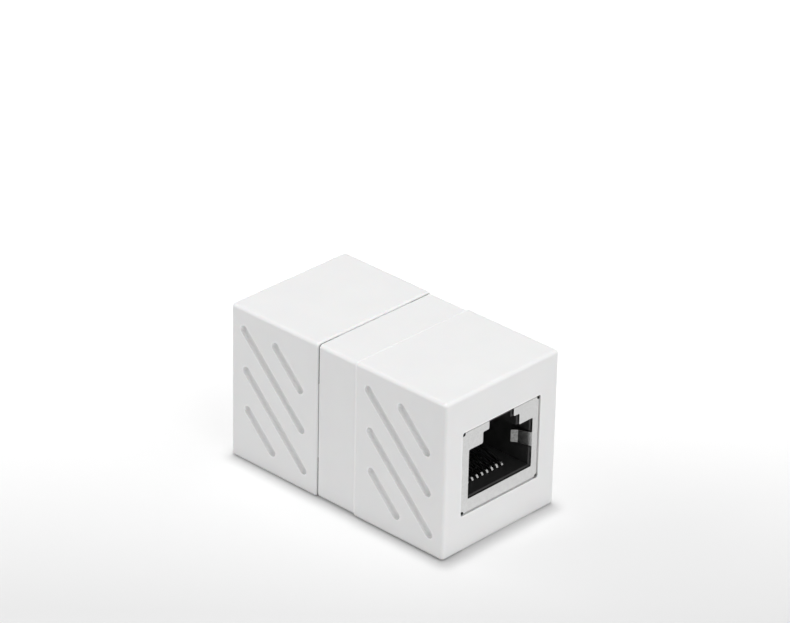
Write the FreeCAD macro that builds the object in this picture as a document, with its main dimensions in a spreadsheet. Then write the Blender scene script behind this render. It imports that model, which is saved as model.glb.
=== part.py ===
"""Shielded RJ45 inline coupler: two 8-contact jacks back to back in a two-piece moulded housing.

Frame: +Y runs along the coupler, the front jack opens towards -Y, +Z is up, and the origin is
the middle of the underside. All sizes are in millimetres. Inside a jack, depth is measured
from the outer face of its metal face plate, and height from the lower edge of that plate.
"""
import FreeCAD, Part
import math
import os
import re
import Sketcher
from FreeCAD import Placement, Rotation, Vector

SIZES = {
    # housing, outside
    "body_length": 40.0,
    "body_width": 22.0,
    "body_height": 23.72,
    "corner_radius": 0.55,
    "edge_radius": 0.5,
    "wall": 2.0,
    "band_length": 7.0,
    "band_recess": 0.15,
    "rim_radius": 0.35,
    "seam_gap": 0.1,
    "band_edge_radius": 0.25,
    # grip grooves
    "groove_angle": 45.0,
    "groove_width": 1.3,
    "groove_depth": 0.55,
    "groove_floor_radius": 0.4,
    "groove_spacing": 4.03,
    "groove_shift": 2.34,
    "long_groove": 16.85,
    "short_groove": 7.9,
    # joint between the two halves
    "lip_length": 4.0,
    "lip_thickness": 0.95,
    "lip_clearance": 0.06,
    "bead_height": 0.3,
    "bead_width": 1.0,
    "bead_length": 8.0,
    "bead_clearance": 0.08,
    # rails that hold the jacks
    "rail_width": 1.4,
    "rail_spread_across": 10.8,
    "rail_spread_up": 7.2,
    "rail_clearance": 0.1,
    # shield
    "plate_width": 15.1,
    "plate_height": 12.6,
    "plate_recess": 0.1,
    "plate_clearance": 0.05,
    "sheet": 0.25,
    "bend_radius": 0.3,
    "seam_slit": 0.06,
    "relief_radius": 0.34,
    "relief_inset": 0.23,
    "relief_depth": 1.2,
    # stepped opening of the face plate
    "opening_width": 12.45,
    "opening_height": 7.46,
    "sill_height": 2.14,
    "shoulder_width": 7.1,
    "shoulder_height": 1.68,
    "slot_width": 4.8,
    "punch_radius": 0.22,
    # side spring tabs
    "tab_root_height": 2.1,
    "tab_tip_height": 1.8,
    "tab_level": 4.14,
    "tab_knee_depth": 1.9,
    "tab_knee_inset": 0.7,
    "tab_tip_depth": 2.65,
    "tab_tip_inset": 1.3,
    "tab_room": 0.6,
    # solder legs of the shield
    "leg_width": 1.1,
    "leg_rise": 3.0,
    "leg_overhang": 0.8,
    "can_setback": 0.35,
    # snap windows in the can's side walls
    "snap_depth": 7.6,
    "snap_length": 1.8,
    "snap_height": 2.6,
    "snap_proud": 0.2,
    "snap_clearance": 0.12,
    # insulator
    "insulator_clearance": 0.05,
    "ledge": 0.18,
    "front_wall": 1.4,
    "plug_depth": 10.6,
    "latch_ceiling": 0.3,
    "mouth_chamfer": 0.15,
    "comb_room": 0.6,
    "comb_top": 6.15,
    # contact wires
    "pitch": 0.97,
    "wire": 0.32,
    "wire_clearance": 0.11,
    "bend_depth": 3.3,
    "lower_run": 1.5,
    "front_bend": 0.6,
    "rise_angle": 17.0,
    "free_end_depth": 11.8,
    "upper_row": 3.62,
    "jog_bend": 0.5,
    "jog_start": 1.0,
    "tail_overhang": 0.9,
    # carrier
    "carrier_margin": 1.0,
    "carrier_roof": 1.1,
    "carrier_clearance": 0.05,
    "tongue": 0.5,
    # circuit board
    "board_thickness": 1.6,
    "board_side_room": 0.2,
    "board_end_room": 0.9,
    "board_corner": 0.8,
    "board_hole": 0.6,
    "solder_gap": 1.55,
}

CONTACTS = 8
HERE = Placement()
TURNED = Placement(Vector(0, 0, 0), Rotation(Vector(0, 0, 1), 180))

# places worked out from the sizes, as expressions in the sheet's words
FACE = "(plate_recess - body_length / 2)"
MIDDLE = "(body_height / 2)"
FOOT = f"({MIDDLE} - plate_height / 2)"
ZONE = "(body_length / 2 - band_length / 2)"
SEAM = "(band_length / 2)"
BAND_END = f"({SEAM} - seam_gap)"
LIP_END = f"({SEAM} + lip_length)"
BOARD_FACE = "(board_thickness / 2)"
SILL = f"({FOOT} + sill_height)"
JACK_FLOOR = f"({SILL} + ledge)"
SHOULDER = f"({SILL} + opening_height + shoulder_height)"
TAB_LEVEL = f"({SILL} + tab_level)"
BLOCK_HALF = "(plate_width / 2 - sheet - insulator_clearance)"
BLOCK_FOOT = f"({FOOT} + sheet + insulator_clearance)"
BLOCK_TOP = f"({FOOT} + plate_height - sheet - insulator_clearance)"
BLOCK_FRONT = f"({FACE} + sheet + insulator_clearance)"
BLOCK_BACK = f"(0 - {BOARD_FACE} - solder_gap)"
COMB_FRONT = f"({FACE} + plug_depth)"
COMB_BACK = f"({FACE} + free_end_depth + comb_room)"
LOWER_ROW = f"({FOOT} + lower_run)"
UPPER_ROW = f"({FOOT} + upper_row)"
WIRE_SLOT = "(wire + 2 * wire_clearance)"
SLOT_FLOOR = f"({LOWER_ROW} - wire / 2 - wire_clearance)"
TAIL_END = f"({BOARD_FACE} + tail_overhang)"
CARRIER_HALF = f"(pitch * {(CONTACTS - 1) / 2} + carrier_margin)"
CARRIER_FRONT = f"({COMB_BACK} + carrier_clearance)"
CARRIER_TOP = f"({UPPER_ROW} + wire / 2 + wire_clearance + carrier_roof)"

doc = FreeCAD.newDocument("Coupler")
sheet = doc.addObject("Spreadsheet::Sheet", "Sizes")
for row, (alias, amount) in enumerate(SIZES.items(), start=1):
    sheet.set(f"A{row}", alias)
    sheet.set(f"B{row}", str(amount))
    sheet.setAlias(f"B{row}", alias)
doc.recompute()


# ---------------------------------------------------------------- helpers

def cells(text):
    """Points each of the sheet's words in an expression at its cell."""
    return re.sub(r"[a-z]\w*", lambda word: f"Sizes.{word[0]}" if word[0] in SIZES else word[0], text)


def value(text):
    """The number that an expression in the sheet's words stands for now."""
    return float(sheet.evalExpression(cells(str(text))))


def bind(item, attribute, text):
    item.setExpression(attribute, cells(str(text)))


def new_body(name, placement=HERE):
    body = doc.addObject("PartDesign::Body", name)
    body.Label = name
    body.Placement = placement
    return body


def new_sketch(body, role, name, offset="0"):
    """A sketch on one of the body's own origin planes, moved along that plane's normal."""
    sketch = body.newObject("Sketcher::SketchObject", name)
    plane = [item for item in body.Origin.OriginFeatures if item.Role == role][0]
    sketch.AttachmentSupport = [(plane, "")]
    sketch.MapMode = "FlatFace"
    bind(sketch, "AttachmentOffset.Base.z", offset)
    return sketch


def upright(body, name, y):
    """A sketch across the coupler at y, with x and z as its axes."""
    return new_sketch(body, "XZ_Plane", name, f"0 - ({y})")


def constrain(sketch, *description, text=None):
    """Adds one constraint; with a text, its value follows that expression."""
    if text is None:
        return sketch.addConstraint(Sketcher.Constraint(*description))
    amount = value(text)
    if description[0] == "Angle":
        amount = math.radians(amount)
    place = sketch.addConstraint(Sketcher.Constraint(*description, amount))
    bind(sketch, f"Constraints[{place}]", text)
    return place


def fix_point(sketch, geometry, end, x, y):
    constrain(sketch, "DistanceX", -1, 1, geometry, end, text=x)
    constrain(sketch, "DistanceY", -1, 1, geometry, end, text=y)


def outline(sketch, corners):
    """A closed outline through corners, each given as two expressions."""
    points = [Vector(value(x), value(y), 0) for x, y in corners]
    first = sketch.GeometryCount
    count = len(corners)
    for i in range(count):
        sketch.addGeometry(Part.LineSegment(points[i], points[(i + 1) % count]), False)
    for i in range(count):
        constrain(sketch, "Coincident", first + i, 2, first + (i + 1) % count, 1)
        fix_point(sketch, first + i, 1, *corners[i])


def rectangle(sketch, left, right, bottom, top):
    outline(sketch, [(left, bottom), (right, bottom), (right, top), (left, top)])


def rounded_rectangle(sketch, half_width, bottom, top, radius):
    """A rectangle centred on the sketch's upright axis, with equal round corners."""
    w, low, high, r = value(half_width), value(bottom), value(top), value(radius)
    first = sketch.GeometryCount
    sides = [((r - w, low), (w - r, low)), ((w, low + r), (w, high - r)),
             ((w - r, high), (r - w, high)), ((-w, high - r), (-w, low + r))]
    centres = [(w - r, low + r), (w - r, high - r), (r - w, high - r), (r - w, low + r)]
    for i in range(4):
        start, end = sides[i]
        sketch.addGeometry(Part.LineSegment(Vector(*start, 0), Vector(*end, 0)), False)
        circle = Part.Circle(Vector(*centres[i], 0), Vector(0, 0, 1), r)
        turn = math.pi / 2
        sketch.addGeometry(Part.ArcOfCircle(circle, (i - 1) * turn, i * turn), False)
    for i in range(4):
        line, arc = first + 2 * i, first + 2 * i + 1
        constrain(sketch, "Tangent", line, 2, arc, 1)
        constrain(sketch, "Tangent", arc, 2, first + (2 * i + 2) % 8, 1)
        if i:
            constrain(sketch, "Equal", first + 1, arc)
    constrain(sketch, "Horizontal", first)
    constrain(sketch, "Vertical", first + 2)
    constrain(sketch, "Horizontal", first + 4)
    constrain(sketch, "Vertical", first + 6)
    constrain(sketch, "Radius", first + 1, text=radius)
    constrain(sketch, "DistanceY", -1, 1, first, 1, text=bottom)
    constrain(sketch, "DistanceY", -1, 1, first + 4, 1, text=top)
    constrain(sketch, "DistanceX", -1, 1, first + 2, 1, text=half_width)
    constrain(sketch, "DistanceX", -1, 1, first + 6, 1, text=f"0 - ({half_width})")


def circle(sketch, x, y, radius):
    centre = Vector(value(x), value(y), 0)
    place = sketch.addGeometry(Part.Circle(centre, Vector(0, 0, 1), value(radius)), False)
    fix_point(sketch, place, 3, x, y)
    constrain(sketch, "Radius", place, text=radius)


def pad(body, sketch, name, length, reverse=False, both_ways=False):
    feature = body.newObject("PartDesign::Pad", name)
    feature.Profile = sketch
    bind(feature, "Length", length)
    feature.Reversed = reverse
    feature.Midplane = both_ways
    return feature


def pocket(body, sketch, name, length, reverse=False, both_ways=False):
    feature = body.newObject("PartDesign::Pocket", name)
    feature.Profile = sketch
    bind(feature, "Length", length)
    feature.Reversed = reverse
    feature.Midplane = both_ways
    return feature


def edges_where(feature, test):
    """Names of the feature's edges whose box passes the test."""
    doc.recompute()
    names = []
    for number, edge in enumerate(feature.Shape.Edges, start=1):
        if test(edge.BoundBox):
            names.append(f"Edge{number}")
    return names


def dress(body, kind, base, names, attribute, text):
    """A fillet or chamfer on the named edges of base."""
    feature = body.newObject("PartDesign::" + kind, kind + "On" + base.Name)
    feature.Base = (base, names)
    bind(feature, attribute, text)
    return feature


def row_along_x(body, feature, name, spacing, count):
    """Repeats the feature along +X."""
    pattern = body.newObject("PartDesign::LinearPattern", name)
    pattern.Originals = [feature]
    axis = [item for item in body.Origin.OriginFeatures if item.Role == "X_Axis"][0]
    pattern.Direction = (axis, [""])
    bind(pattern, "Length", f"{spacing} * {count - 1}")
    pattern.Occurrences = count
    body.Tip = pattern
    return pattern


def near(a, b):
    return abs(a - b) < 1e-4


def flat_at(box, y):
    return near(box.YMin, y) and near(box.YMax, y)


# ---------------------------------------------------------------- housing

def cut_grooves(body, side, mirror):
    """Four diagonal grip grooves with round floors, sunk in one side of a half shell."""
    centre = f"({ZONE} / 2 + band_length / 2)"
    lean = f"({mirror} * cos(groove_angle * 1deg))"
    rise = "sin(groove_angle * 1deg)"
    rows = [(0.5, "long_groove"), (1.5, "short_groove")]
    sketch = new_sketch(body, "YZ_Plane", "GrooveSketch", f"{side} * body_width / 2")
    for half in (1, -1):
        for step, length in rows:
            ends = []
            for end in (-1, 1):
                along = f"({half} * groove_shift + {end} * ({length} - groove_width) / 2)"
                across = f"({half * step} * groove_spacing)"
                y = f"{body_sign(body)} * {centre} + {along} * {lean} - {across} * {mirror} * {rise}"
                z = f"{MIDDLE} + {along} * {rise} + {across} * cos(groove_angle * 1deg)"
                ends.append((y, z))
            stadium(sketch, ends[0], ends[1], "groove_width / 2")
    grooves = pocket(body, sketch, "Grooves", "groove_depth", reverse=side < 0)
    floor = value(f"{side} * (body_width / 2 - groove_depth)")
    bottoms = edges_where(grooves, lambda box: near(box.XMin, floor) and near(box.XMax, floor))
    return dress(body, "Fillet", grooves, bottoms, "Radius", "groove_floor_radius")


def body_sign(body):
    """-1 for the half at -Y and 1 for the half at +Y."""
    return -1 if body.Label == "front_shell" else 1


def stadium(sketch, start, end, radius):
    """A slot with round ends about two centre points."""
    a = Vector(value(start[0]), value(start[1]), 0)
    b = Vector(value(end[0]), value(end[1]), 0)
    r = value(radius)
    heading = math.atan2(b.y - a.y, b.x - a.x)
    normal = Vector(-math.sin(heading), math.cos(heading), 0) * r
    up = Vector(0, 0, 1)
    quarter = math.pi / 2
    first = sketch.GeometryCount
    cap_b = Part.ArcOfCircle(Part.Circle(b, up, r), heading - quarter, heading + quarter)
    cap_a = Part.ArcOfCircle(Part.Circle(a, up, r), heading + quarter, heading + 3 * quarter)
    for part in (Part.LineSegment(a - normal, b - normal), cap_b,
                 Part.LineSegment(b + normal, a + normal), cap_a):
        sketch.addGeometry(part, False)
    for i in range(4):
        constrain(sketch, "Tangent", first + i, 2, first + (i + 1) % 4, 1)
    constrain(sketch, "Equal", first + 1, first + 3)
    constrain(sketch, "Radius", first + 1, text=radius)
    fix_point(sketch, first + 1, 3, *end)
    fix_point(sketch, first + 3, 3, *start)


def add_rails(body, start, end):
    """Eight rails inside the shell that carry the can and clamp the board."""
    sketch = upright(body, "RailSketch", start)
    half = "rail_width / 2"
    inside = "(wall / 2)"
    can_side = "(plate_width / 2 + rail_clearance)"
    for way in (-1, 1):
        x = f"{way} * rail_spread_across / 2"
        rectangle(sketch, f"{x} - {half}", f"{x} + {half}", inside, f"{FOOT} - rail_clearance")
        rectangle(sketch, f"{x} - {half}", f"{x} + {half}",
                  f"{FOOT} + plate_height + rail_clearance", f"body_height - {inside}")
        z = f"{MIDDLE} + {way} * rail_spread_up / 2"
        rectangle(sketch, can_side, f"body_width / 2 - {inside}", f"{z} - {half}", f"{z} + {half}")
        rectangle(sketch, f"{inside} - body_width / 2", f"0 - {can_side}", f"{z} - {half}", f"{z} + {half}")
    return pad(body, sketch, "Rails", f"({end}) - ({start})", reverse=True)


def cut_window(body, start):
    """The opening in the end wall that the jack's face plate sits in."""
    sketch = upright(body, "WindowSketch", start)
    rounded_rectangle(sketch, "plate_width / 2 + plate_clearance", f"{FOOT} - plate_clearance",
                      f"{FOOT} + plate_height + plate_clearance", "relief_radius")
    return pocket(body, sketch, "Window", "2 * wall")


def outer_block(body, start, length, end_face, rim_face):
    """The rounded outside of an end zone."""
    sketch = upright(body, "ZoneSketch", start)
    rounded_rectangle(sketch, "body_width / 2", "0", "body_height", "corner_radius")
    zone = pad(body, sketch, "Zone", length, reverse=True)
    face = edges_where(zone, lambda box: flat_at(box, value(end_face)))
    rounded = dress(body, "Fillet", zone, face, "Radius", "edge_radius")
    rim = edges_where(rounded, lambda box: flat_at(box, value(rim_face)))
    return dress(body, "Fillet", rounded, rim, "Radius", "rim_radius")


def front_shell():
    """Front half of the housing, with the recessed band and the lip that enters the rear half."""
    body = new_body("front_shell")
    end_face = "0 - body_length / 2"
    outer_block(body, end_face, ZONE, end_face, f"0 - {SEAM}")

    sketch = upright(body, "BandSketch", f"0 - {SEAM} - wall")
    rounded_rectangle(sketch, "body_width / 2 - band_recess", "band_recess",
                      "body_height - band_recess", "corner_radius")
    band = pad(body, sketch, "Band", f"{BAND_END} + {SEAM} + wall", reverse=True)
    edge = edges_where(band, lambda box: flat_at(box, value(BAND_END)))
    dress(body, "Fillet", band, edge, "Radius", "band_edge_radius")

    inset = "(wall - lip_thickness)"
    sketch = upright(body, "LipSketch", "0")
    rounded_rectangle(sketch, f"body_width / 2 - {inset}", inset, f"body_height - {inset}",
                      "corner_radius")
    pad(body, sketch, "Lip", LIP_END, reverse=True)

    sketch = upright(body, "CavitySketch", f"{end_face} + wall")
    rounded_rectangle(sketch, "body_width / 2 - wall", "wall", "body_height - wall", "corner_radius")
    pocket(body, sketch, "Cavity", "body_length")
    add_rails(body, f"{end_face} + wall / 2", f"0 - {BOARD_FACE}")
    cut_window(body, f"{end_face} - wall / 2")
    add_beads(body)
    cut_grooves(body, -1, 1)
    cut_grooves(body, 1, -1)
    return body


def bead_outline(sketch, side, grow):
    """Wedge-shaped section of a snap bead on the lip, seen from above."""
    lip_face = f"(body_width / 2 - wall + lip_thickness)"
    middle = f"({SEAM} + lip_length / 2)"
    outer = f"{side} * ({lip_face} + bead_height + {grow})"
    inner = f"{side} * ({lip_face} - lip_thickness / 2)"
    half = f"(bead_width / 2 + {grow})"
    outline(sketch, [(inner, f"{middle} - {half}"), (f"{side} * {lip_face}", f"{middle} - {half}"),
                     (outer, f"{middle} - {half} / 3"), (outer, f"{middle} + {half} / 6"),
                     (f"{side} * {lip_face}", f"{middle} + {half}"), (inner, f"{middle} + {half}")])


def add_beads(body):
    for side, name in ((-1, "LeftBead"), (1, "RightBead")):
        sketch = new_sketch(body, "XY_Plane", name + "Sketch", MIDDLE)
        bead_outline(sketch, side, "0")
        pad(body, sketch, name, "bead_length", both_ways=True)


def rear_shell():
    """Rear half of the housing; its mouth takes the front half's lip and snap beads."""
    body = new_body("rear_shell")
    end_face = "body_length / 2"
    outer_block(body, SEAM, ZONE, end_face, SEAM)

    sketch = upright(body, "CavitySketch", f"{SEAM} - wall")
    rounded_rectangle(sketch, "body_width / 2 - wall", "wall", "body_height - wall", "corner_radius")
    pocket(body, sketch, "Cavity", ZONE)
    add_rails(body, BOARD_FACE, f"{end_face} - wall / 2")

    inset = "(wall - lip_thickness - lip_clearance)"
    tongue = "(wall + lip_clearance)"
    sketch = upright(body, "LipRoomSketch", "0")
    rounded_rectangle(sketch, f"body_width / 2 - {inset}", inset, f"body_height - {inset}",
                      "corner_radius")
    rounded_rectangle(sketch, f"body_width / 2 - {tongue}", tongue, f"body_height - {tongue}",
                      "corner_radius")
    pocket(body, sketch, "LipRoom", LIP_END)
    cut_window(body, f"{end_face} - 3 * wall / 2")
    for side, name in ((-1, "LeftCatch"), (1, "RightCatch")):
        sketch = new_sketch(body, "XY_Plane", name + "Sketch", MIDDLE)
        bead_outline(sketch, side, "bead_clearance")
        pocket(body, sketch, name, "bead_length + 4 * bead_clearance", both_ways=True)
    cut_grooves(body, -1, 1)
    cut_grooves(body, 1, -1)
    return body


# ---------------------------------------------------------------- shield

def stepped_opening(sketch, inset, top):
    """The plug opening with its two steps up to the latch slot, symmetric about the middle."""
    rows = [("opening_width / 2", SILL, f"{SILL} + opening_height"),
            ("shoulder_width / 2", "", SHOULDER), ("slot_width / 2", "", top)]
    right = [(f"{rows[0][0]} - {inset}", f"{SILL} + {inset}"),
             (f"{rows[0][0]} - {inset}", f"{SILL} + opening_height - {inset}"),
             (f"{rows[1][0]} - {inset}", f"{SILL} + opening_height - {inset}"),
             (f"{rows[1][0]} - {inset}", f"{SHOULDER} - {inset}"),
             (f"{rows[2][0]} - {inset}", f"{SHOULDER} - {inset}"),
             (f"{rows[2][0]} - {inset}", top)]
    left = [(f"0 - ({x})", y) for x, y in reversed(right)]
    outline(sketch, right + left)


def shield(name, placement):
    """Can folded from one sheet: face plate, four walls, side spring tabs and solder legs."""
    body = new_body(name, placement)
    can_end = f"{BLOCK_BACK} + can_setback"
    half = "plate_width / 2"
    top = f"({FOOT} + plate_height)"

    sketch = upright(body, "CanSketch", FACE)
    rectangle(sketch, f"0 - {half}", half, FOOT, top)
    can = pad(body, sketch, "Can", f"{can_end} - {FACE}", reverse=True)
    folds = edges_where(can, lambda box: flat_at(box, value(FACE)))
    dress(body, "Fillet", can, folds, "Radius", "bend_radius")

    sketch = upright(body, "HollowSketch", f"{FACE} + sheet")
    rectangle(sketch, f"sheet - {half}", f"{half} - sheet", f"{FOOT} + sheet", f"{top} - sheet")
    hollow = pocket(body, sketch, "Hollow", "body_length / 2")
    inner = value(f"{FACE} + sheet")
    folds = edges_where(hollow, lambda box: flat_at(box, inner))
    dress(body, "Fillet", hollow, folds, "Radius", "bend_radius - sheet")

    sketch = upright(body, "ReliefSketch", f"{FACE} - sheet")
    for way in (-1, 1):
        for z in (f"{FOOT} + relief_inset", f"{top} - relief_inset"):
            circle(sketch, f"{way} * ({half} - relief_inset)", z, "relief_radius")
    pocket(body, sketch, "CornerReliefs", "sheet + relief_depth")

    sketch = upright(body, "SeamSketch", f"{FACE} + bend_radius")
    slit = "(sheet + seam_slit)"
    for way in (-1, 1):
        for low, high in ((f"{FOOT} - sheet", f"{FOOT} + {slit}"), (f"{top} - {slit}", f"{top} + sheet")):
            near_side = f"{way} * ({half} - {slit})"
            far_side = f"{way} * ({half} + sheet)"
            rectangle(sketch, near_side, far_side, low, high)
    pocket(body, sketch, "CornerSeams", "body_length / 2")

    sketch = upright(body, "OpeningSketch", f"{FACE} - sheet")
    stepped_opening(sketch, "0", f"{top} + sheet")
    opening = pocket(body, sketch, "Opening", "2 * sheet + bend_radius")
    corners = edges_where(opening, punched_corner)
    dress(body, "Fillet", opening, corners, "Radius", "punch_radius")

    add_tabs(body)
    cut_snap_windows(body)
    add_legs(body, can_end)
    return body


def punched_corner(box):
    """Edges through the sheet at the corners of the opening, below the slot's top."""
    through = near(box.XMin, box.XMax) and near(box.ZMin, box.ZMax)
    inside = abs(box.XMin) < value("opening_width / 2") + 0.01
    level = value(SILL) - 0.01 < box.ZMin < value(SHOULDER) + 0.01
    return through and inside and level and near(box.YMin, value(FACE))


def add_tabs(body):
    """Spring tabs folded in from the sides of the opening, which earth the plug's shell."""
    edge = "opening_width / 2"
    for way, name in ((-1, "LeftTab"), (1, "RightTab")):
        sketch = new_sketch(body, "XY_Plane", name + "Sketch", TAB_LEVEL)
        path = [(f"{edge} + 2 * sheet", FACE), (edge, FACE),
                (f"{edge} - tab_knee_inset", f"{FACE} + tab_knee_depth"),
                (f"{edge} - tab_tip_inset", f"{FACE} + tab_tip_depth"),
                (f"{edge} - tab_tip_inset + 0.8 * sheet", f"{FACE} + tab_tip_depth + 0.6 * sheet"),
                (f"{edge} - tab_knee_inset + sheet", f"{FACE} + tab_knee_depth + 0.3 * sheet"),
                (f"{edge} + sheet", f"{FACE} + sheet"), (f"{edge} + 2 * sheet", f"{FACE} + sheet")]
        outline(sketch, [(f"{way} * ({x})", y) for x, y in path])
        strip = pad(body, sketch, name, "tab_root_height", both_ways=True)
        bend = edges_where(strip, tab_knee)
        dress(body, "Fillet", strip, bend, "Radius", "bend_radius")

    sketch = new_sketch(body, "YZ_Plane", "TaperSketch")
    start, end = f"{FACE} + sheet", f"{FACE} + tab_tip_depth + sheet"
    for way in (-1, 1):
        root = f"{TAB_LEVEL} + {way} * tab_root_height / 2"
        outline(sketch, [(start, root), (end, f"{TAB_LEVEL} + {way} * tab_tip_height / 2"),
                         (end, f"{root} + {way} * sheet"), (start, f"{root} + {way} * sheet")])
    pocket(body, sketch, "TabTapers", "opening_width", both_ways=True)


def tab_knee(box):
    """The upright edge at the knee of a tab, on its face towards the plug."""
    x = value("opening_width / 2 - tab_knee_inset")
    y = value(f"{FACE} + tab_knee_depth")
    return near(abs(box.XMin), x) and near(abs(box.XMax), x) and flat_at(box, y)


def cut_snap_windows(body):
    """A window in each side wall, where a wedge on the insulator snaps in."""
    sketch = new_sketch(body, "YZ_Plane", "SnapWindowSketch")
    start = f"{FACE} + snap_depth"
    half = "(snap_height / 2 + snap_clearance)"
    rectangle(sketch, f"{start} - snap_clearance", f"{start} + snap_length + snap_clearance",
              f"{MIDDLE} - {half}", f"{MIDDLE} + {half}")
    return pocket(body, sketch, "SnapWindows", "plate_width + sheet", both_ways=True)


def add_legs(body, can_end):
    """One solder leg on each side wall, at different heights so that two jacks can share a board."""
    for way, name in ((-1, "LowLeg"), (1, "HighLeg")):
        sketch = upright(body, name + "Sketch", f"{can_end} - leg_width")
        z = f"{MIDDLE} + {way} * leg_rise"
        rectangle(sketch, f"{way} * (plate_width / 2 - sheet)", f"{way} * plate_width / 2",
                  f"{z} - leg_width / 2", f"{z} + leg_width / 2")
        pad(body, sketch, name, f"{BOARD_FACE} + leg_overhang - ({can_end}) + leg_width", reverse=True)


# ---------------------------------------------------------------- insulator

def contact_x(index):
    """Expression for where contact 1 to 8 lies across the jack."""
    return f"({(CONTACTS + 1) / 2 - index} * pitch)"


def insulator(name, placement):
    """Black housing of the jack: plug cavity, latch channel, comb and pocket for the carrier."""
    body = new_body(name, placement)
    sketch = upright(body, "BlockSketch", BLOCK_FRONT)
    rectangle(sketch, f"0 - {BLOCK_HALF}", BLOCK_HALF, BLOCK_FOOT, BLOCK_TOP)
    pad(body, sketch, "Block", f"{BLOCK_BACK} - {BLOCK_FRONT}", reverse=True)

    sketch = upright(body, "MouthSketch", BLOCK_FRONT)
    stepped_opening(sketch, "ledge", f"{BLOCK_TOP} - latch_ceiling")
    mouth = pocket(body, sketch, "Mouth", f"{COMB_FRONT} - {BLOCK_FRONT}")
    rim = edges_where(mouth, lambda box: flat_at(box, value(BLOCK_FRONT))
                      and abs(box.XMin) < value(BLOCK_HALF) - 0.1
                      and abs(box.XMax) < value(BLOCK_HALF) - 0.1)
    dress(body, "Chamfer", mouth, rim, "Size", "mouth_chamfer")

    sketch = upright(body, "LatchSketch", f"{BLOCK_FRONT} + front_wall")
    rectangle(sketch, "ledge - shoulder_width / 2", "shoulder_width / 2 - ledge", MIDDLE,
              f"{BLOCK_TOP} + sheet")
    pocket(body, sketch, "LatchRoom", f"{COMB_FRONT} - {BLOCK_FRONT} - front_wall")

    sketch = upright(body, "TabRoomSketch", BLOCK_FRONT)
    for way in (-1, 1):
        rectangle(sketch, f"{way} * (opening_width / 2 - 2 * ledge)", f"{way} * (opening_width / 2 + tab_room)",
                  f"{TAB_LEVEL} - tab_root_height / 2 - ledge", f"{TAB_LEVEL} + tab_root_height / 2 + ledge")
    pocket(body, sketch, "TabRooms", "tab_tip_depth + 2 * sheet")

    sketch = upright(body, "CarrierRoomSketch", COMB_BACK)
    room = f"({CARRIER_HALF} + carrier_clearance)"
    rectangle(sketch, f"0 - {room}", room, f"{BLOCK_FOOT} - sheet", f"{CARRIER_TOP} + carrier_clearance")
    pocket(body, sketch, "CarrierRoom", "body_length / 2")
    for way, label in ((-1, "Left"), (1, "Right")):
        sketch = upright(body, label + "TongueRoomSketch", COMB_BACK)
        rectangle(sketch, f"{way} * ({room} - tongue)", f"{way} * ({room} + tongue)",
                  f"{LOWER_ROW} - carrier_clearance", f"{LOWER_ROW} + 2 * tongue + carrier_clearance")
        pocket(body, sketch, label + "TongueRoom", "body_length / 2")

    sketch = new_sketch(body, "YZ_Plane", "CombSketch", contact_x(CONTACTS))
    front = f"{FACE} + bend_depth - front_bend - wire / 2 - wire_clearance"
    back = f"{COMB_BACK} + wire_clearance"
    outline(sketch, [(front, SLOT_FLOOR), (back, SLOT_FLOOR), (back, f"{FOOT} + comb_top"),
                     (f"{COMB_FRONT} - wire_clearance", f"{FOOT} + comb_top"),
                     (f"{COMB_FRONT} - wire_clearance", f"{JACK_FLOOR} + ledge"),
                     (front, f"{JACK_FLOOR} + ledge")])
    slot = pocket(body, sketch, "CombSlot", WIRE_SLOT, both_ways=True)
    row_along_x(body, slot, "Comb", "pitch", CONTACTS)
    add_snap_wedges(body)
    return body


def add_snap_wedges(body):
    """Wedges on the insulator's sides; they are low in front, where they enter the can first."""
    start, end = f"{FACE} + snap_depth", f"{FACE} + snap_depth + snap_length"
    root = f"({BLOCK_HALF} - sheet)"
    for way, name in ((-1, "LeftWedge"), (1, "RightWedge")):
        sketch = new_sketch(body, "XY_Plane", name + "Sketch", MIDDLE)
        corners = [(root, start), (BLOCK_HALF, start), (f"({BLOCK_HALF} + snap_proud)", end), (root, end)]
        outline(sketch, [(f"{way} * {x}", y) for x, y in corners])
        pad(body, sketch, name, "snap_height", both_ways=True)


# ---------------------------------------------------------------- contacts

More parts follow.
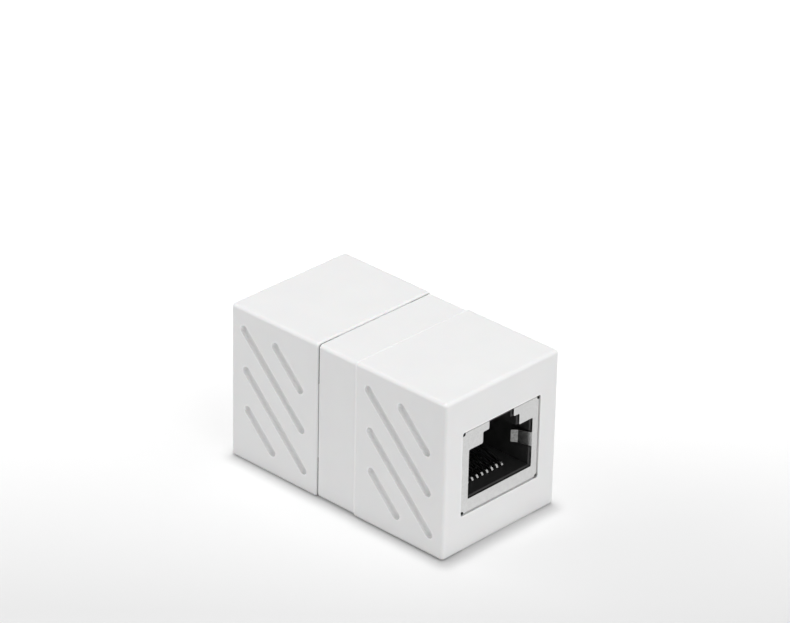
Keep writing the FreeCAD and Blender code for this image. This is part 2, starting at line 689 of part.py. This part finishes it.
def contact(name, index, placement):
    """One spring contact: tail through the board, bend at the mouth, free end rising in the comb."""
    body = new_body(name, placement)
    path = new_sketch(body, "YZ_Plane", "PathSketch", contact_x(index))
    row = LOWER_ROW if index % 2 else UPPER_ROW
    y_bend, z_low = value(f"{FACE} + bend_depth"), value(LOWER_ROW)
    r, rise = value("front_bend"), math.radians(value("rise_angle"))
    centre = Vector(y_bend, z_low + r, 0)
    lift = centre + Vector(-math.sin(rise), math.cos(rise), 0) * r
    run = value(f"{FACE} + free_end_depth") - lift.x
    free = lift + Vector(run, run * math.tan(rise), 0)
    up = Vector(0, 0, 1)
    path.addGeometry(Part.LineSegment(free, lift), False)
    hook = Part.ArcOfCircle(Part.Circle(centre, up, r), math.pi / 2 + rise, 3 * math.pi / 2)
    path.addGeometry(hook, False)
    constrain(path, "Tangent", 0, 2, 1, 1)
    constrain(path, "Radius", 1, text="front_bend")
    constrain(path, "DistanceX", -1, 1, 0, 1, text=f"{FACE} + free_end_depth")
    constrain(path, "DistanceX", -1, 1, 1, 3, text=f"{FACE} + bend_depth")
    constrain(path, "Angle", 0, text="180 + rise_angle")
    base = Vector(y_bend, z_low, 0)
    tail = Vector(value(TAIL_END), value(row), 0)
    if index % 2:
        path.addGeometry(Part.LineSegment(base, tail), False)
        constrain(path, "Tangent", 1, 2, 2, 1)
        last = 2
    else:
        last = add_jog(path, base, tail)
    constrain(path, "Horizontal", 2)
    constrain(path, "DistanceY", -1, 1, 2, 1, text=LOWER_ROW)
    constrain(path, "DistanceX", -1, 1, last, 2, text=TAIL_END)

    section = upright(body, "SectionSketch", TAIL_END)
    x = contact_x(index)
    rectangle(section, f"{x} - wire / 2", f"{x} + wire / 2", f"{row} - wire / 2", f"{row} + wire / 2")
    pipe = body.newObject("PartDesign::AdditivePipe", "Wire")
    pipe.Profile = section
    pipe.Spine = (path, [""])
    return body


def add_jog(path, base, tail):
    """Lifts the wire from the lower to the upper row with two square bends."""
    r, start = value("jog_bend"), value(f"{CARRIER_FRONT} + jog_start")
    up = Vector(0, 0, 1)
    quarter = math.pi / 2
    one = Vector(start, base.y + r, 0)
    two = Vector(start + 2 * r, tail.y - r, 0)
    path.addGeometry(Part.LineSegment(base, Vector(start, base.y, 0)), False)
    path.addGeometry(Part.ArcOfCircle(Part.Circle(one, up, r), -quarter, 0), False)
    path.addGeometry(Part.LineSegment(Vector(start + r, one.y, 0), Vector(start + r, two.y, 0)), False)
    path.addGeometry(Part.ArcOfCircle(Part.Circle(two, up, r), quarter, 2 * quarter), False)
    path.addGeometry(Part.LineSegment(Vector(two.x, tail.y, 0), tail), False)
    constrain(path, "Tangent", 1, 2, 2, 1)
    constrain(path, "Tangent", 2, 2, 3, 1)
    constrain(path, "Tangent", 3, 2, 4, 1)
    constrain(path, "Tangent", 4, 2, 5, 2)
    constrain(path, "Tangent", 5, 1, 6, 1)
    constrain(path, "Equal", 3, 5)
    constrain(path, "Radius", 3, text="jog_bend")
    constrain(path, "Vertical", 4)
    constrain(path, "Horizontal", 6)
    constrain(path, "DistanceX", -1, 1, 3, 3, text=f"{CARRIER_FRONT} + jog_start")
    constrain(path, "DistanceY", -1, 1, 6, 2, text=UPPER_ROW)
    return 6


# ---------------------------------------------------------------- carrier and board

def carrier(name, placement):
    """Comb block at the back of the jack; the wires are pressed into its slots from below."""
    body = new_body(name, placement)
    length = f"{BLOCK_BACK} - {CARRIER_FRONT}"
    foot = f"({BLOCK_FOOT} + carrier_clearance)"
    sketch = upright(body, "BlockSketch", CARRIER_FRONT)
    rectangle(sketch, f"0 - {CARRIER_HALF}", CARRIER_HALF, foot, CARRIER_TOP)
    pad(body, sketch, "Block", length, reverse=True)
    for way, label in ((-1, "Left"), (1, "Right")):
        sketch = upright(body, label + "TongueSketch", CARRIER_FRONT)
        rectangle(sketch, f"{way} * ({CARRIER_HALF} - tongue)", f"{way} * ({CARRIER_HALF} + tongue)",
                  LOWER_ROW, f"{LOWER_ROW} + 2 * tongue")
        pad(body, sketch, label + "Tongue", length, reverse=True)
    half = f"{WIRE_SLOT} / 2"
    for row, label, first in ((LOWER_ROW, "Low", CONTACTS - 1), (UPPER_ROW, "High", CONTACTS)):
        sketch = upright(body, label + "SlotSketch", f"{CARRIER_FRONT} - wire")
        x = contact_x(first)
        rectangle(sketch, f"{x} - {half}", f"{x} + {half}", f"{foot} - wire", f"{row} + {half}")
        slot = pocket(body, sketch, label + "Slot", "body_length / 2")
        row_along_x(body, slot, label + "Slots", "2 * pitch", CONTACTS // 2)
    return body


def circuit_board():
    """Board between the jacks, drilled for both sets of tails and slotted for the shields' legs."""
    body = new_body("circuit_board")
    sketch = upright(body, "OutlineSketch", f"0 - {BOARD_FACE}")
    rounded_rectangle(sketch, "body_width / 2 - wall - board_side_room", "wall + board_end_room",
                      "body_height - wall - board_end_room", "board_corner")
    pad(body, sketch, "Plate", "board_thickness", reverse=True)
    for row, label in ((LOWER_ROW, "Low"), (UPPER_ROW, "High")):
        sketch = upright(body, label + "HoleSketch", "0")
        circle(sketch, contact_x(CONTACTS), row, "board_hole / 2")
        hole = pocket(body, sketch, label + "Hole", "2 * board_thickness", both_ways=True)
        row_along_x(body, hole, label + "Holes", "pitch", CONTACTS)
    sketch = upright(body, "LegSlotSketch", "0")
    room = "wire_clearance"
    for side in (-1, 1):
        for way in (-1, 1):
            z = f"{MIDDLE} + {way} * leg_rise"
            rectangle(sketch, f"{side} * (plate_width / 2 - sheet - {room})", f"{side} * (plate_width / 2 + {room})",
                      f"{z} - leg_width / 2 - {room}", f"{z} + leg_width / 2 + {room}")
    pocket(body, sketch, "LegSlots", "2 * board_thickness", both_ways=True)
    return body


# ---------------------------------------------------------------- whole coupler

def build():
    parts = [front_shell(), rear_shell(), circuit_board()]
    for end, placement in (("front", HERE), ("rear", TURNED)):
        parts.append(shield(f"{end}_shield", placement))
        parts.append(insulator(f"{end}_insulator", placement))
        parts.append(carrier(f"{end}_carrier", placement))
        for index in range(1, CONTACTS + 1):
            parts.append(contact(f"{end}_contact_{index}", index, placement))
    doc.recompute()
    return parts


def check(parts):
    """Stops before anything is written if a feature failed or a solid is not sound."""
    for item in doc.Objects:
        if "Invalid" in item.State or "Error" in item.State:
            raise RuntimeError(f"{item.Label} did not build")
    for part in parts:
        if part.Shape.isNull() or not part.Shape.isValid() or len(part.Shape.Solids) != 1:
            raise RuntimeError(f"{part.Label} is not one sound solid")


parts = build()
check(parts)
os.makedirs("parts", exist_ok=True)
for part in parts:
    part.Shape.exportStep(f"parts/{part.Label}.step")
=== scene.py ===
"""Looks of a white shielded RJ45 inline coupler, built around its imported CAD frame.

Everything is in metres in the part's own frame: +Y along the coupler, the front jack towards
-Y, +Z up, and the origin in the middle of the underside. MM turns millimetres into metres.
"""
import math

import bpy
from mathutils import Matrix, Vector


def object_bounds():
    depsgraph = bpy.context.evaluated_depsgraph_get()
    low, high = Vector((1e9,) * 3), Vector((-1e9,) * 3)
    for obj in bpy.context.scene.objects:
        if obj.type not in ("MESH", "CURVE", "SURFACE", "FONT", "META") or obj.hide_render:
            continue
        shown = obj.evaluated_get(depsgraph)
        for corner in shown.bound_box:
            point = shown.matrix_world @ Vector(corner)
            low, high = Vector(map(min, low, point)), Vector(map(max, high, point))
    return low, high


MM = 0.001

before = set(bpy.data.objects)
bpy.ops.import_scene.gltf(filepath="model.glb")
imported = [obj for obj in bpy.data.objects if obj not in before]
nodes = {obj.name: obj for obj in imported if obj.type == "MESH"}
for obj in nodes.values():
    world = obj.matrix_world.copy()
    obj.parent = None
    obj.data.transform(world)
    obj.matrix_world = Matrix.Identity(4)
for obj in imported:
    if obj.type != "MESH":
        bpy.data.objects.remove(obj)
cad_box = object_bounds()
SIZE = [high - low for low, high in zip(*cad_box)]
MIDDLE_HEIGHT = SIZE[2] / 2

# the photograph's camera: where it looks, from which side, how far away, and its tilt
AIM = Vector((4.276, 3.89, 22.844)) * MM
AZIMUTH = math.radians(46.72)
ELEVATION = math.radians(27.821)
ROLL = math.radians(1.23)
DISTANCE = 540.55 * MM
SENSOR = 36.0
LENS = 181.54
CLIP_START = 0.01


def heading(azimuth, elevation):
    """Unit vector towards a viewer; azimuth 0 is in front of the front jack, 90 on its left."""
    flat = math.cos(elevation)
    return Vector((-math.sin(azimuth) * flat, -math.cos(azimuth) * flat, math.sin(elevation)))


# ---------------------------------------------------------------- node helpers

class Shader:
    """A material and its node tree, with one-line makers for the nodes that it needs."""

    def __init__(self, name):
        self.material = bpy.data.materials.new(name)
        self.material.use_nodes = True
        self.tree = self.material.node_tree
        self.tree.nodes.clear()
        self.output = self.tree.nodes.new("ShaderNodeOutputMaterial")

    def add(self, kind, **settings):
        """A new node; settings are the node's own properties, not its sockets."""
        node = self.tree.nodes.new("ShaderNode" + kind)
        for key, setting in settings.items():
            setattr(node, key, setting)
        return node

    def link(self, source, target):
        self.tree.links.new(source, target)

    def place(self, scale=(1, 1, 1)):
        """The surface's place in the part's frame, stretched by scale."""
        where = self.add("TexCoord")
        mapping = self.add("Mapping")
        mapping.inputs["Scale"].default_value = scale
        self.link(where.outputs["Object"], mapping.inputs["Vector"])
        return mapping.outputs["Vector"]

    def distance_along(self, axis, start=0.0):
        """Distance along one axis from start, in metres."""
        split = self.add("SeparateXYZ")
        self.link(self.place(), split.inputs[0])
        past = self.add("Math", operation="SUBTRACT")
        self.link(split.outputs[axis], past.inputs[0])
        past.inputs[1].default_value = start
        size = self.add("Math", operation="ABSOLUTE")
        self.link(past.outputs["Value"], size.inputs[0])
        return size.outputs["Value"]

    def noise(self, size, detail=2.0, roughness=0.5, stretch=(1, 1, 1)):
        """Noise whose features are about size metres wide; gives a value near 0.5."""
        node = self.add("TexNoise")
        node.inputs["Scale"].default_value = 1.0 / size
        node.inputs["Detail"].default_value = detail
        node.inputs["Roughness"].default_value = roughness
        self.link(self.place(stretch), node.inputs["Vector"])
        return node.outputs["Fac"]

    def bands(self, width, direction):
        """Even waves along one axis, about width metres apart."""
        node = self.add("TexWave", wave_type="BANDS", bands_direction=direction)
        node.inputs["Scale"].default_value = 1.0 / width
        self.link(self.place(), node.inputs["Vector"])
        return node.outputs["Fac"]

    def openness(self, reach, samples, **settings):
        """1 where nothing lies within reach of the surface, 0 where all directions are shut."""
        node = self.add("AmbientOcclusion", samples=samples, **settings)
        node.inputs["Distance"].default_value = reach
        return node.outputs["AO"]

    def spread(self, source, low, high, start=0.3, end=0.7):
        """Maps source from start..end to low..high."""
        node = self.add("MapRange")
        node.inputs["From Min"].default_value = start
        node.inputs["From Max"].default_value = end
        node.inputs["To Min"].default_value = low
        node.inputs["To Max"].default_value = high
        self.link(source, node.inputs["Value"])
        return node.outputs["Result"]

    def combine(self, operation, first, second):
        """Joins two numbers by an operation of the Math node."""
        node = self.add("Math", operation=operation)
        self.link(first, node.inputs[0])
        self.link(second, node.inputs[1])
        return node.outputs["Value"]

    def blend(self, source, first, second):
        """Goes from the first colour to the second as source goes from 0 to 1.

        Each colour is either another node's output or three plain numbers.
        """
        node = self.add("Mix", data_type="RGBA")
        self.link(source, node.inputs["Factor"])
        for socket, color in (("A", first), ("B", second)):
            if isinstance(color, tuple):
                node.inputs[socket].default_value = (*color, 1)
            else:
                self.link(color, node.inputs[socket])
        return node.outputs["Result"]

    def bump(self, source, depth, strength=1.0, under=None):
        """Normals of a relief of the given depth, on top of the normals under it."""
        node = self.add("Bump")
        node.inputs["Distance"].default_value = depth
        node.inputs["Strength"].default_value = strength
        self.link(source, node.inputs["Height"])
        if under is not None:
            self.link(under, node.inputs["Normal"])
        return node.outputs["Normal"]

    def principled(self, color, roughness, normal, **fixed):
        """The surface shader; fixed values go straight on its sockets."""
        node = self.add("BsdfPrincipled")
        for key, setting in fixed.items():
            node.inputs[key.replace("_", " ")].default_value = setting
        self.link(color, node.inputs["Base Color"])
        self.link(roughness, node.inputs["Roughness"])
        self.link(normal, node.inputs["Normal"])
        self.link(node.outputs["BSDF"], self.output.inputs["Surface"])


# ---------------------------------------------------------------- materials

# each pair is the darker and the lighter end of a material's mottling
WHITE_ABS = (0.872, 0.872, 0.872), (0.888, 0.888, 0.887)
# painted highlight colour for convex edges and the band's front step
PAINTED_EDGE_HIGHLIGHT = (0.99, 0.99, 0.99)
# painted shade colour for the pits behind the corner reliefs and for groove floors
PAINTED_PIT_SHADE = (0.03, 0.03, 0.03)
PLATED = (0.75, 0.75, 0.745), (0.86, 0.86, 0.855)
# darker plating: painted shade for the shield's metal behind its face plate
PAINTED_SHADE_PLATING = (0.17, 0.17, 0.167), (0.34, 0.34, 0.335)
BLACK_PBT = (0.022, 0.022, 0.022), (0.034, 0.034, 0.034)
BRIGHT_WIRE = (0.74, 0.74, 0.73), (0.84, 0.84, 0.83)
GREEN_RESIST = (0.015, 0.09, 0.035), (0.022, 0.13, 0.05)
PLASTIC_IOR = 1.5

# housing: how far edges look eased, and how far the search reaches for crests that get a painted
# highlight and crevices that get painted shade
EASED_EDGE = 0.12 * MM
CREST_REACH = 0.4 * MM
CREVICE_REACH = 1.0 * MM
EDGE_SAMPLES = 8
# openness of the surface from full effect to none, for the painted highlight on crests and the
# painted shade in pits and grooves
CREST_OPENNESS = 0.5, 0.97
PIT_OPENNESS = 0.15, 0.5
GROOVE_OPENNESS = 0.4, 0.9
# the band's front step, along Y, and the half-width of its painted highlight line with a soft end
STEP_PLACE = -3.62 * MM
STEP_REACH = 0.14 * MM, 0.24 * MM
# the painted shade in the pits behind the plate's corner reliefs starts this far from the middle
RELIEF_ACROSS = 6.9 * MM, 6.95 * MM
RELIEF_UP = 5.65 * MM, 5.7 * MM
# how far the grooves' floors go towards the pits' painted shade
GROOVE_SHADE = 0.16
# the shield's metal goes from plated to its darker painted shade between these distances from the
# middle
SHIELD_DIMMING = 19.7 * MM, 19.3 * MM
# size of the waves in the board's glass cloth
WEAVE = 2 * MM


def housing_material():
    """White satin ABS with a fine spark-eroded grain, with a painted highlight on crests and
    along the band's front step, and painted shade in pits and groove floors.
    """
    shader = Shader("housing_abs")
    cloud = shader.spread(shader.noise(6 * MM, detail=3), 0, 1)
    grain = shader.noise(0.09 * MM, detail=3, roughness=0.6)
    roughness = shader.spread(shader.noise(0.5 * MM, detail=3), 0.40, 0.50)
    wave = shader.noise(4 * MM, detail=1)
    eased = shader.add("Bevel", samples=EDGE_SAMPLES)
    eased.inputs["Radius"].default_value = EASED_EDGE
    flow = shader.bump(wave, 0.02 * MM, strength=0.5, under=eased.outputs["Normal"])
    normal = shader.bump(grain, 0.004 * MM, strength=0.7, under=flow)

    # painted highlight: pale colour on convex edges and in a line along the band's front step
    inward = shader.openness(CREST_REACH, EDGE_SAMPLES, inside=True, only_local=True)
    edge = shader.spread(inward, 1, 0, *CREST_OPENNESS)
    step_highlight_mask = shader.spread(shader.distance_along("Y", STEP_PLACE), 1, 0, *STEP_REACH)
    painted_highlight_mask = shader.combine("MAXIMUM", edge, step_highlight_mask)

    # painted shade: dark colour in the corner relief pits and, weaker, on groove floors
    outward = shader.openness(CREVICE_REACH, EDGE_SAMPLES)
    deep = shader.spread(outward, 1, 0, *PIT_OPENNESS)
    across = shader.spread(shader.distance_along("X"), 0, 1, *RELIEF_ACROSS)
    up = shader.spread(shader.distance_along("Z", MIDDLE_HEIGHT), 0, 1, *RELIEF_UP)
    pit_shade_mask = shader.combine("MULTIPLY", deep, shader.combine("MULTIPLY", across, up))
    groove_shade_mask = shader.spread(outward, GROOVE_SHADE, 0, *GROOVE_OPENNESS)
    painted_shade_mask = shader.combine("MAXIMUM", pit_shade_mask, groove_shade_mask)

    flat = shader.blend(cloud, *WHITE_ABS)
    # the colour carries the painted highlight on crests and the painted shade in pits and grooves
    color = shader.blend(painted_shade_mask, shader.blend(painted_highlight_mask, flat, PAINTED_EDGE_HIGHLIGHT), PAINTED_PIT_SHADE)
    shader.principled(color, roughness, normal, IOR=PLASTIC_IOR, Subsurface_Weight=0.05,
                      Subsurface_Scale=0.6 * MM)
    return shader.material


def shield_material():
    """Nickel-plated sheet with faint rolling grain, with smeared painted shade on the metal
    behind the face plate.
    """
    shader = Shader("shield_nickel")
    rolled = shader.noise(0.05 * MM, detail=3, stretch=(0.06, 1, 1))
    cloud = shader.spread(shader.noise(0.5 * MM, detail=5, roughness=0.75), 0, 1)
    roughness = shader.spread(shader.noise(0.3 * MM, detail=4), 0.19, 0.27)
    normal = shader.bump(rolled, 0.003 * MM, strength=0.6)
    smear = shader.spread(shader.noise(0.35 * MM, detail=4, roughness=0.7), 0, 1,
                          start=0.35, end=0.65)
    # painted shade: the metal behind the face plate gets the darker, smeared colour
    depth = shader.spread(shader.distance_along("Y"), 0, 1, *SHIELD_DIMMING)
    color = shader.blend(depth, shader.blend(cloud, *PLATED),
                         shader.blend(smear, *PAINTED_SHADE_PLATING))
    shader.principled(color, roughness, normal, Metallic=1.0, Anisotropic=0.3)
    return shader.material


def insulator_material():
    """Black glass-filled PBT, slightly mottled, with a satin skin."""
    shader = Shader("insulator_pbt")
    cloud = shader.spread(shader.noise(0.8 * MM, detail=4), 0, 1)
    fibre = shader.noise(0.06 * MM, detail=3, stretch=(1, 0.3, 1))
    roughness = shader.spread(shader.noise(0.25 * MM, detail=3), 0.34, 0.5)
    normal = shader.bump(fibre, 0.003 * MM, strength=0.6)
    shader.principled(shader.blend(cloud, *BLACK_PBT), roughness, normal, IOR=PLASTIC_IOR)
    return shader.material


def contact_material():
    """Bright plated spring wire with fine draw lines along its length."""
    shader = Shader("contact_plating")
    drawn = shader.noise(0.03 * MM, detail=2, stretch=(1, 0.1, 1))
    cloud = shader.spread(shader.noise(0.6 * MM, detail=3), 0, 1)
    roughness = shader.spread(shader.noise(0.2 * MM, detail=3), 0.12, 0.19)
    normal = shader.bump(drawn, 0.001 * MM, strength=0.5)
    shader.principled(shader.blend(cloud, *BRIGHT_WIRE), roughness, normal, Metallic=1.0)
    return shader.material


def board_material():
    """Green solder resist over the weave of the glass cloth."""
    shader = Shader("board_resist")
    cross = shader.combine("MAXIMUM", shader.bands(WEAVE, "X"), shader.bands(WEAVE, "Z"))
    roughness = shader.spread(shader.noise(0.5 * MM, detail=3), 0.25, 0.35)
    normal = shader.bump(cross, 0.01 * MM, strength=0.4)
    shader.principled(shader.blend(cross, *GREEN_RESIST), roughness, normal, IOR=PLASTIC_IOR)
    return shader.material


def dress_nodes():
    """Gives every CAD node its material, chosen by the word in the node's name."""
    finishes = {
        "shell": housing_material(),
        "shield": shield_material(),
        "insulator": insulator_material(),
        "carrier": insulator_material(),
        "contact": contact_material(),
        "circuit": board_material(),
    }
    for name, node in nodes.items():
        kind = [word for word in finishes if word in name][0]
        node.data.materials.clear()
        node.data.materials.append(finishes[kind])


# ---------------------------------------------------------------- stage, light and camera

FLOOR_SIZE = 4.0
# the floor lies this far under the part, so that the two surfaces don't flicker
FLOOR_GAP = 0.02 * MM
# the floor's glow, for the camera alone, goes from low to high between two distances behind the
# part's middle, seen from the camera; the first one lies in front of it
FLOOR_GLOW = 0.03, 0.50
FLOOR_GLOW_PLACE = -35 * MM, 70 * MM
# paper in painted contact shadow near the part and in the open, and how far the painted shade
# reaches
PAPER_SHADED_AND_OPEN = (0.64, 0.64, 0.64), (0.78, 0.78, 0.78)
FLOOR_CONTACT = 2.5 * MM
FLOOR_SAMPLES = 16

WORLD_COLOR = (1, 1, 1, 1)
WORLD_STRENGTH = 0.25

# square lamps: name, azimuth and elevation in degrees, distance and width in metres, watts
SOFTBOXES = [
    ("overhead", 215, 87.6, 0.6, 0.06, 1.72),
    ("front", 10, 25, 0.6, 0.5, 1.30),
    ("front_right", -42, 36, 0.6, 0.85, 0.68),
    ("rear_left", 138, 22, 0.35, 0.3, 0.40),
]


def floor_material():
    """Pale paper with a painted contact shadow under the part's edges and a camera-only painted
    glow that grows whiter away from the camera.
    """
    shader = Shader("floor_paper")
    paper = shader.add("BsdfDiffuse")
    # painted contact shadow: the paper is darker where the part shuts out the surroundings
    open_sky = shader.openness(FLOOR_CONTACT, FLOOR_SAMPLES)
    shader.link(shader.blend(open_sky, *PAPER_SHADED_AND_OPEN), paper.inputs["Color"])
    # painted glow that only the camera sees, stronger further from the camera
    along = shader.add("VectorMath", operation="DOT_PRODUCT")
    along.inputs[1].default_value = -heading(AZIMUTH, 0)
    shader.link(shader.place(), along.inputs[0])
    lift = shader.spread(along.outputs["Value"], *FLOOR_GLOW, *FLOOR_GLOW_PLACE)
    seen = shader.add("LightPath").outputs["Is Camera Ray"]
    painted_glow = shader.add("Emission")
    shader.link(shader.combine("MULTIPLY", lift, seen), painted_glow.inputs["Strength"])
    both = shader.add("AddShader")
    shader.link(paper.outputs["BSDF"], both.inputs[0])
    shader.link(painted_glow.outputs["Emission"], both.inputs[1])
    shader.link(both.outputs["Shader"], shader.output.inputs["Surface"])
    return shader.material


def add_floor():
    """A plain square floor just under the part."""
    half = FLOOR_SIZE / 2
    low = -FLOOR_GAP
    corners = [(-half, -half, low), (half, -half, low), (half, half, low), (-half, half, low)]
    mesh = bpy.data.meshes.new("floor")
    mesh.from_pydata(corners, [], [(0, 1, 2, 3)])
    mesh.materials.append(floor_material())
    floor = bpy.data.objects.new("floor", mesh)
    bpy.context.scene.collection.objects.link(floor)


def add_world():
    """Even white surroundings."""
    world = bpy.data.worlds.new("studio")
    world.use_nodes = True
    background = world.node_tree.nodes["Background"]
    background.inputs["Color"].default_value = WORLD_COLOR
    background.inputs["Strength"].default_value = WORLD_STRENGTH
    bpy.context.scene.world = world


def add_softbox(name, azimuth, elevation, distance, width, power):
    """A square area lamp that faces the middle of the part."""
    light = bpy.data.lights.new(name, "AREA")
    light.size = width
    light.energy = power
    lamp = bpy.data.objects.new(name, light)
    bpy.context.scene.collection.objects.link(lamp)
    direction = heading(math.radians(azimuth), math.radians(elevation))
    lamp.location = Vector((0, 0, MIDDLE_HEIGHT)) + direction * distance
    lamp.rotation_euler = direction.to_track_quat("Z", "Y").to_euler()


def add_camera():
    """The photograph's own view."""
    data = bpy.data.cameras.new("photo_camera")
    data.sensor_width = SENSOR
    data.lens = LENS
    data.clip_start = CLIP_START
    camera = bpy.data.objects.new("photo_camera", data)
    bpy.context.scene.collection.objects.link(camera)
    away = heading(AZIMUTH, ELEVATION)
    facing = away.to_track_quat("Z", "Y").to_matrix().to_4x4()
    tilt = Matrix.Rotation(ROLL, 4, "Z")
    camera.matrix_world = Matrix.Translation(AIM + away * DISTANCE) @ facing @ tilt
    bpy.context.scene.camera = camera


# ---------------------------------------------------------------- scene

dress_nodes()
add_floor()
add_world()
for softbox in SOFTBOXES:
    add_softbox(*softbox)
add_camera()
bpy.context.scene.view_settings.view_transform = "Standard"
